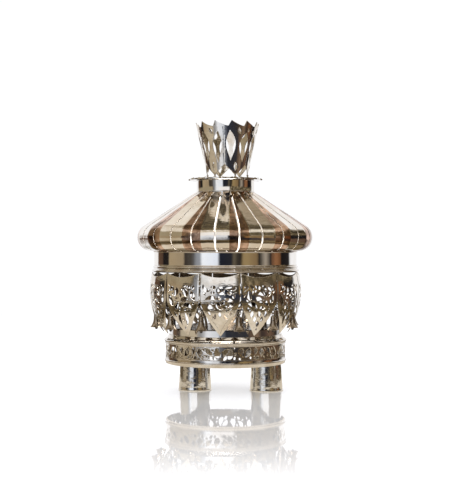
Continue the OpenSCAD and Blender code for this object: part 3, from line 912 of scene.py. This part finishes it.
def coronet_leaves():
    """Six leaves of thin sheet, each with swept points and long leaf-shaped openings."""
    side = leaf_side(TOP_Z)
    crest = [(side * k / 12, TOP_Z - TOOTH_H + coronet_tooth(k)) for k in range(12, -13, -1)]
    right = [(2.2, FOOT_Z), (leaf_side(ARCH_Z), ARCH_Z), (leaf_side(360), 360.0)]
    outline = dense(right + crest + [(-x, z) for x, z in right[::-1]], 3.0)
    styles = (
        [leaf(-10.0, 361, 44, 14.5, 6, 12, 0.56), leaf(9.9, 359, 43, 15.0, -6, -16, 0.58),
         leaf(-0.6, 331, 13, 5.2, 6, 30), leaf(1.4, 381.5, 11, 4.6, 22, -40),
         leaf(17.0, 383.0, 6, 2.6, -14, 30)],
        [leaf(-10.4, 357, 42, 14.0, 8, -16, 0.58), leaf(9.6, 360, 44, 14.5, -8, 14, 0.55),
         leaf(0.8, 330.5, 12, 5.0, -8, 20), leaf(-5.6, 383.0, 10, 4.4, -40, 40),
         leaf(-17.0, 380.5, 7, 3.0, 12, -30)],
        [leaf(-10.0, 361, 43, 15.0, 5, 18, 0.56), leaf(10.2, 359, 45, 14.0, -7, -10, 0.58),
         leaf(0.0, 331, 14, 5.2, 0, -36), leaf(3.0, 382.5, 10, 4.2, 34, 30)],
    )
    masters = []
    for holes in styles:
        kept = []
        for points in holes:
            if apart(points, kept + [outline], 0.9):
                kept.append(points)
        bm = cut_sheet(outline, kept, LEAF_T, 0.2, 2.4)
        for v in bm.verts:
            middle = coronet_r(v.co.y) - LEAF_T / 2
            angle = v.co.x / middle
            r = middle + v.co.z
            v.co = Vector((r * math.cos(angle), r * math.sin(angle), v.co.y)) * MM
        masters.append(bm)
    whole = bmesh.new()
    for k in range(LEAVES):
        copy = masters[k % 3].copy()
        bmesh.ops.rotate(copy, verts=copy.verts, matrix=Matrix.Rotation(leaf_azimuth(k), 3, "Z"))
        join(whole, copy)
    for bm in masters:
        bm.free()
    bmesh.ops.translate(whole, verts=whole.verts, vec=(CORONET_X * MM, 0, 0))
    finish_piece(whole, "coronet_sheet", PIERCED, stands_for=("coronet_leaves",))


def coronet_posts():
    """Six small turned posts between the plate and the coronet's leaves."""
    whole = bmesh.new()
    low = PLATE_Z + PLATE_T
    outline = [(0, PLATE_Z), (1.3, PLATE_Z), (1.3, low)] + arc(0.9, low + 1.0, 1.15, -60, 60, 8)
    outline += [(1.1, low + 2.4), (1.0, FOOT_Z - 2.2)] + arc(0.6, FOOT_Z - 0.9, 1.0, -60, 70, 8)
    outline += [(0, FOOT_Z)]
    for k in range(LEAVES):
        bm = turned_bmesh(outline, 28, False)
        r = (FOOT_R - LEAF_T / 2) * MM
        place = (r * math.cos(leaf_azimuth(k)) + CORONET_X * MM, r * math.sin(leaf_azimuth(k)), 0)
        bmesh.ops.translate(bm, verts=bm.verts, vec=place)
        join(whole, bm)
    finish_piece(whole, "turned_posts", FITTING, stands_for=("coronet_posts",))


# ---------- the CAD pieces that stay ----------


def paint_kept_nodes():
    """Gives each CAD piece that no other piece replaces its finish."""
    finishes = {
        "sleeve_flange_left": FITTING, "sleeve_flange_right": FITTING, "clamp_screws_left": FITTING,
        # neck_floor, wall_brackets and bell_gallery sit inside the crown and take the painted-shade finish.
        "clamp_screws_right": FITTING, "base_plate": PLAIN, "neck_drum": PLAIN, "neck_floor": SHADED_FITTING,
        "wall_brackets": SHADED_FITTING, "bell_gallery": SHADED_FITTING, "bell_hooks": FITTING, "belt_band": PLAIN,
    }
    for name, material in finishes.items():
        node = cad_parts[name]
        for place in node.material_slots:
            place.material = material


# ---------- floor, backdrop, lights and camera ----------


def colour_stops(tree, value, stops):
    """A colour that changes softly with a value, through the given (place, colour) stops."""
    node = tree.nodes.new("ShaderNodeValToRGB")
    ramp = node.color_ramp
    ramp.interpolation = "EASE"
    for number, (place, colour) in enumerate(stops):
        stop = ramp.elements[number] if number < 2 else ramp.elements.new(place)
        stop.position = place
        stop.color = (*colour, 1)
    tree.links.new(value, node.inputs["Fac"])
    return node.outputs["Color"]


def by_azimuth(tree, turned, bands):
    """Colours round the horizon, given at degrees from the front, positive towards +X."""
    return colour_stops(tree, turned, [(degrees / 360 + 0.5, colour) for degrees, colour in bands])


WALL_BANDS = (
    (-180, (1.0, 1.0, 1.02)), (-134, (1.0, 1.0, 1.02)), (-128, (0.13, 0.07, 0.04)),
    (-117, (0.1, 0.06, 0.04)), (-113, (0.015, 0.013, 0.013)), (-101, (0.02, 0.017, 0.015)),
    (-95, (0.42, 0.33, 0.21)), (-68, (0.36, 0.28, 0.18)), (-63, (0.05, 0.04, 0.033)),
    (-50, (0.07, 0.06, 0.05)), (-40, (0.3, 0.32, 0.36)), (-32, (0.95, 1.0, 1.08)),
    (-9, (0.85, 0.92, 1.05)), (-3, (0.015, 0.018, 0.03)), (11, (0.02, 0.022, 0.03)),
    (17, (0.12, 0.1, 0.07)), (29, (0.03, 0.025, 0.02)), (36, (0.32, 0.23, 0.11)),
    (54, (0.24, 0.16, 0.08)), (60, (0.03, 0.025, 0.02)), (72, (0.36, 0.31, 0.25)),
    (83, (0.04, 0.03, 0.025)), (91, (0.28, 0.13, 0.06)), (100, (0.2, 0.09, 0.04)),
    (105, (0.012, 0.01, 0.01)), (126, (0.02, 0.018, 0.018)), (134, (1.0, 1.0, 1.02)),
    (180, (1.0, 1.0, 1.02)),
)
TABLE_BANDS = (
    (-180, (0.95, 0.95, 0.97)), (-134, (0.9, 0.9, 0.92)), (-122, (0.16, 0.1, 0.06)),
    (-104, (0.08, 0.06, 0.05)), (-92, (0.5, 0.43, 0.32)), (-56, (0.55, 0.47, 0.35)),
    (-46, (0.3, 0.3, 0.31)), (-30, (0.85, 0.88, 0.95)), (-12, (0.7, 0.75, 0.84)),
    (-4, (0.16, 0.18, 0.23)), (6, (0.03, 0.034, 0.05)), (46, (0.035, 0.034, 0.04)),
    (56, (0.12, 0.08, 0.055)), (70, (0.22, 0.15, 0.1)), (84, (0.05, 0.035, 0.03)),
    (104, (0.15, 0.09, 0.06)), (128, (0.03, 0.025, 0.02)), (142, (0.9, 0.9, 0.92)),
    (180, (0.95, 0.95, 0.97)),
)
SHELF = ((0.35, (0.035, 0.027, 0.016)), (0.5, (0.11, 0.088, 0.052)), (0.62, (0.34, 0.27, 0.17)))
OVERHEAD = (
    (0.3, (0.02, 0.016, 0.011)), (0.45, (0.085, 0.068, 0.044)), (0.56, (0.17, 0.137, 0.088)),
    (0.62, (0.07, 0.05, 0.026)), (0.66, (0.95, 0.78, 0.36)), (0.7, (0.1, 0.07, 0.035)),
)
TAN_CEILING = ((0.3, (0.14, 0.11, 0.075)), (0.46, (0.3, 0.25, 0.18)), (0.62, (0.48, 0.41, 0.31)))
PALE_CEILING = ((0.34, (0.34, 0.27, 0.19)), (0.44, (0.72, 0.65, 0.54)), (0.6, (0.95, 0.9, 0.82)))
WINDOW_WHITE = (1.0, 1.0, 1.02, 1)
BACKDROP_WHITE = (1.02, 1.02, 1.03, 1)


def make_ceiling(tree, direction, z):
    """The ceiling by height: pale and tan plaster, then a dark part with small warm lamps overhead."""
    overhead = colour_stops(tree, soft_noise(tree, direction, 24.0, 3.0, 0.6), OVERHEAD)
    mild = soft_noise(tree, direction, 12.0, 3.0, 0.6)
    tan = colour_stops(tree, mild, TAN_CEILING)
    pale = colour_stops(tree, mild, PALE_CEILING)
    ceiling = blend_colours(tree, spread(tree, z, 0.76, 0.79), pale, tan)
    return blend_colours(tree, spread(tree, z, 0.83, 0.85), ceiling, overhead)


def make_surroundings():
    """What the silver mirrors: windows, furnishings and a brown ceiling, by direction from the crown."""
    tree = bpy.data.node_groups.new("surroundings", "ShaderNodeTree")
    tree.interface.new_socket(name="Direction", in_out="INPUT", socket_type="NodeSocketVector")
    for label in ("Walls", "Room", "Table"):
        tree.interface.new_socket(name=label, in_out="OUTPUT", socket_type="NodeSocketColor")
    given, result = tree.nodes.new("NodeGroupInput"), tree.nodes.new("NodeGroupOutput")
    level = tree.nodes.new("ShaderNodeVectorMath")
    level.operation = "NORMALIZE"
    tree.links.new(given.outputs["Direction"], level.inputs[0])
    direction = level.outputs["Vector"]
    parts = tree.nodes.new("ShaderNodeSeparateXYZ")
    tree.links.new(direction, parts.inputs[0])
    x, y, z = (parts.outputs[axis] for axis in "XYZ")

    around = combine(tree, "ARCTAN2", x, combine(tree, "MULTIPLY", y, -1.0))
    from_front = combine(tree, "ABSOLUTE", around)
    uneven = combine(tree, "SUBTRACT", soft_noise(tree, direction, 3.0, 3.0), 0.5)
    wander = combine(tree, "MULTIPLY", uneven, 0.3)
    turned = combine(tree, "DIVIDE", combine(tree, "ADD", around, wander), math.tau)
    turned = combine(tree, "ADD", turned, 0.5)
    walls = by_azimuth(tree, turned, WALL_BANDS)
    tree.links.new(walls, result.inputs["Walls"])
    tree.links.new(by_azimuth(tree, turned, TABLE_BANDS), result.inputs["Table"])

    left, right = spread(tree, around, -0.7, -0.9), spread(tree, around, 0.3, 0.45)
    sides = combine(tree, "MAXIMUM", left, right)
    sides = combine(tree, "MULTIPLY", sides, spread(tree, from_front, 2.35, 2.15))
    low = combine(tree, "MULTIPLY", spread(tree, z, 0.08, 0.16), sides)
    shelf = colour_stops(tree, soft_noise(tree, direction, 9.0, 3.0, 0.6), SHELF)
    shelf = blend_colours(tree, left, shelf, (0.36, 0.3, 0.2, 1))

    height = combine(tree, "ADD", z, combine(tree, "MULTIPLY", wander, 0.5))
    backward = spread(tree, y, 0.1, 0.3)
    rise = combine(tree, "ADD", combine(tree, "MULTIPLY", backward, 0.06), 0.56)
    starts, ends = combine(tree, "SUBTRACT", rise, 0.07), combine(tree, "ADD", rise, 0.07)
    into_ceiling = spread(tree, height, starts, ends)
    front, above = spread(tree, from_front, 0.5, 0.3), spread(tree, z, 0.1, 0.2)
    window = blend_colours(tree, combine(tree, "MULTIPLY", front, above), walls, WINDOW_WHITE)
    window = blend_colours(tree, low, window, shelf)
    room = blend_colours(tree, into_ceiling, window, make_ceiling(tree, direction, z))
    tree.links.new(room, result.inputs["Room"])
    return tree


SURROUNDINGS = make_surroundings()


def place_surroundings(tree, direction):
    """The surroundings' colours seen in a direction."""
    node = tree.nodes.new("ShaderNodeGroup")
    node.node_tree = SURROUNDINGS
    tree.links.new(direction, node.inputs["Direction"])
    return node.outputs


def mix_shaders(tree, mask, first, second):
    """The first shader where the mask is 0, the second where it is 1."""
    node = tree.nodes.new("ShaderNodeMixShader")
    for socket, source in zip(node.inputs, (mask, first, second)):
        tree.links.new(source, socket)
    return node.outputs[0]


def floor_sheen(tree):
    """A white floor that mirrors only at a low angle."""
    white = tree.nodes.new("ShaderNodeBsdfDiffuse")
    white.inputs["Color"].default_value = (0.96, 0.96, 0.97, 1)
    gloss = tree.nodes.new("ShaderNodeBsdfGlossy")
    gloss.inputs["Roughness"].default_value = 0.03
    gloss.inputs["Color"].default_value = (0.98, 0.98, 0.99, 1)
    facing = tree.nodes.new("ShaderNodeLayerWeight")
    facing.inputs["Blend"].default_value = 0.5
    low_angle = spread(tree, facing.outputs["Facing"], 0.76, 0.84, 0.04, 0.62)
    return mix_shaders(tree, low_angle, white.outputs[0], gloss.outputs[0])


def mirrored_floor(tree, coords, away):
    """What the silver mirrors of the floor: a pale mat, then a patchy dark table and the room beyond it."""
    around = place_surroundings(tree, coords)
    patches = spread(tree, soft_noise(tree, coords, 7.0, 3.0), 0.4, 0.62)
    shaded = blend_colours(tree, patches, (0.05, 0.038, 0.02, 1), (0.24, 0.18, 0.1, 1))
    middle = blend_colours(tree, spread(tree, away, 0.5, 0.7), shaded, around["Table"])
    beyond = blend_colours(tree, spread(tree, away, 1.3, 2.6), middle, around["Walls"])
    colour = blend_colours(tree, spread(tree, away, 0.27, 0.33), (0.76, 0.68, 0.56, 1), beyond)
    mirrored_part = tree.nodes.new("ShaderNodeEmission")
    tree.links.new(colour, mirrored_part.inputs["Color"])
    return mirrored_part.outputs[0]


def floor():
    """A pale floor that runs into the backdrop."""
    bm = bmesh.new()
    bmesh.ops.create_grid(bm, x_segments=1, y_segments=1, size=9.0)
    mesh = bpy.data.meshes.new("floor")
    bm.to_mesh(mesh)
    bm.free()
    piece = bpy.data.objects.new("floor", mesh)
    bpy.context.scene.collection.objects.link(piece)
    material = bpy.data.materials.new("pale floor")
    material.use_nodes = True
    tree = material.node_tree
    tree.nodes.clear()
    out = tree.nodes.new("ShaderNodeOutputMaterial")
    coords = tree.nodes.new("ShaderNodeTexCoord").outputs["Object"]
    distance = tree.nodes.new("ShaderNodeVectorMath")
    distance.operation = "LENGTH"
    tree.links.new(coords, distance.inputs[0])
    away = distance.outputs["Value"]
    far = tree.nodes.new("ShaderNodeEmission")
    far.inputs["Color"].default_value = BACKDROP_WHITE
    merged = mix_shaders(tree, spread(tree, away, 0.8, 2.0), floor_sheen(tree), far.outputs[0])
    in_silver = tree.nodes.new("ShaderNodeLightPath").outputs["Is Glossy Ray"]
    surface = mix_shaders(tree, in_silver, merged, mirrored_floor(tree, coords, away))
    tree.links.new(surface, out.inputs["Surface"])
    mesh.materials.append(material)


def backdrop():
    """A plain white backdrop, with the room in its place wherever the silver mirrors it."""
    world = bpy.data.worlds.new("studio")
    bpy.context.scene.world = world
    world.use_nodes = True
    tree = world.node_tree
    tree.nodes.clear()
    out = tree.nodes.new("ShaderNodeOutputWorld")
    shade = tree.nodes.new("ShaderNodeBackground")
    tree.links.new(shade.outputs[0], out.inputs["Surface"])
    around = place_surroundings(tree, tree.nodes.new("ShaderNodeTexCoord").outputs["Generated"])
    in_silver = tree.nodes.new("ShaderNodeLightPath").outputs["Is Glossy Ray"]
    colour = blend_colours(tree, in_silver, BACKDROP_WHITE, around["Room"])
    tree.links.new(colour, shade.inputs["Color"])


def soft_light(name, place, width, height, power, colour=(1, 1, 1)):
    """A soft window-like light that shines on the crown's middle and isn't mirrored itself."""
    light = bpy.data.lights.new(name, "AREA")
    light.shape = "RECTANGLE"
    light.size, light.size_y = width, height
    light.energy = power
    light.color = colour
    holder = bpy.data.objects.new(name, light)
    holder.location = place
    holder.rotation_euler = (LIT_AT - Vector(place)).to_track_quat("-Z", "Y").to_euler()
    holder.visible_glossy = False
    bpy.context.scene.collection.objects.link(holder)


LIT_AT = Vector((0, 0, 0.2))
GLOW_Z, GLOW_POWER, GLOW_R = 0.262, 0.45, 0.03


def lights():
    """Three soft lights round the crown and a weak one inside the dome."""
    soft_light("left window", (-1.3, -1.6, 1.1), 0.9, 1.2, 22)
    soft_light("right fill", (1.9, -0.9, 0.9), 0.6, 1.0, 12, (1.0, 0.93, 0.84))
    soft_light("back light", (0.2, 2.2, 1.3), 2.4, 1.2, 40)
    glow = bpy.data.lights.new("light inside", "POINT")
    glow.energy = GLOW_POWER
    glow.shadow_soft_size = GLOW_R
    holder = bpy.data.objects.new("light inside", glow)
    holder.location = (0, 0, GLOW_Z)
    bpy.context.scene.collection.objects.link(holder)


LENS = 78.6
CAMERA_AWAY, CAMERA_Z = 1.64, 0.212
CAMERA_TURN = math.radians(4.2)
SHIFT_X, SHIFT_Y = -0.0009, -0.0089


def camera():
    """Level with the crown's middle and a little to the right of its front."""
    lens = bpy.data.cameras.new("camera")
    lens.lens = LENS
    lens.sensor_width = 36
    lens.clip_start = 0.05
    holder = bpy.data.objects.new("camera", lens)
    bpy.context.scene.collection.objects.link(holder)
    across, back = CAMERA_AWAY * math.sin(CAMERA_TURN), CAMERA_AWAY * math.cos(CAMERA_TURN)
    holder.location = (across, -back, CAMERA_Z)
    holder.rotation_euler = (math.pi / 2, 0, CAMERA_TURN)
    lens.shift_y = SHIFT_Y
    lens.shift_x = SHIFT_X
    bpy.context.scene.camera = holder


sleeve(0, LEFT_AT, "left_beaten_sleeve")
sleeve(1, RIGHT_AT, "right_beaten_sleeve")
lower_ring()
upper_ring()
wall_ring()
seat_hoop()
openwork_band()
wall_shields()
bells()
dome_strips()
collar()
lobed_plate()
coronet_leaves()
coronet_posts()
paint_kept_nodes()
floor()
backdrop()
lights()
camera()
bpy.context.scene.view_settings.view_transform = "Standard"
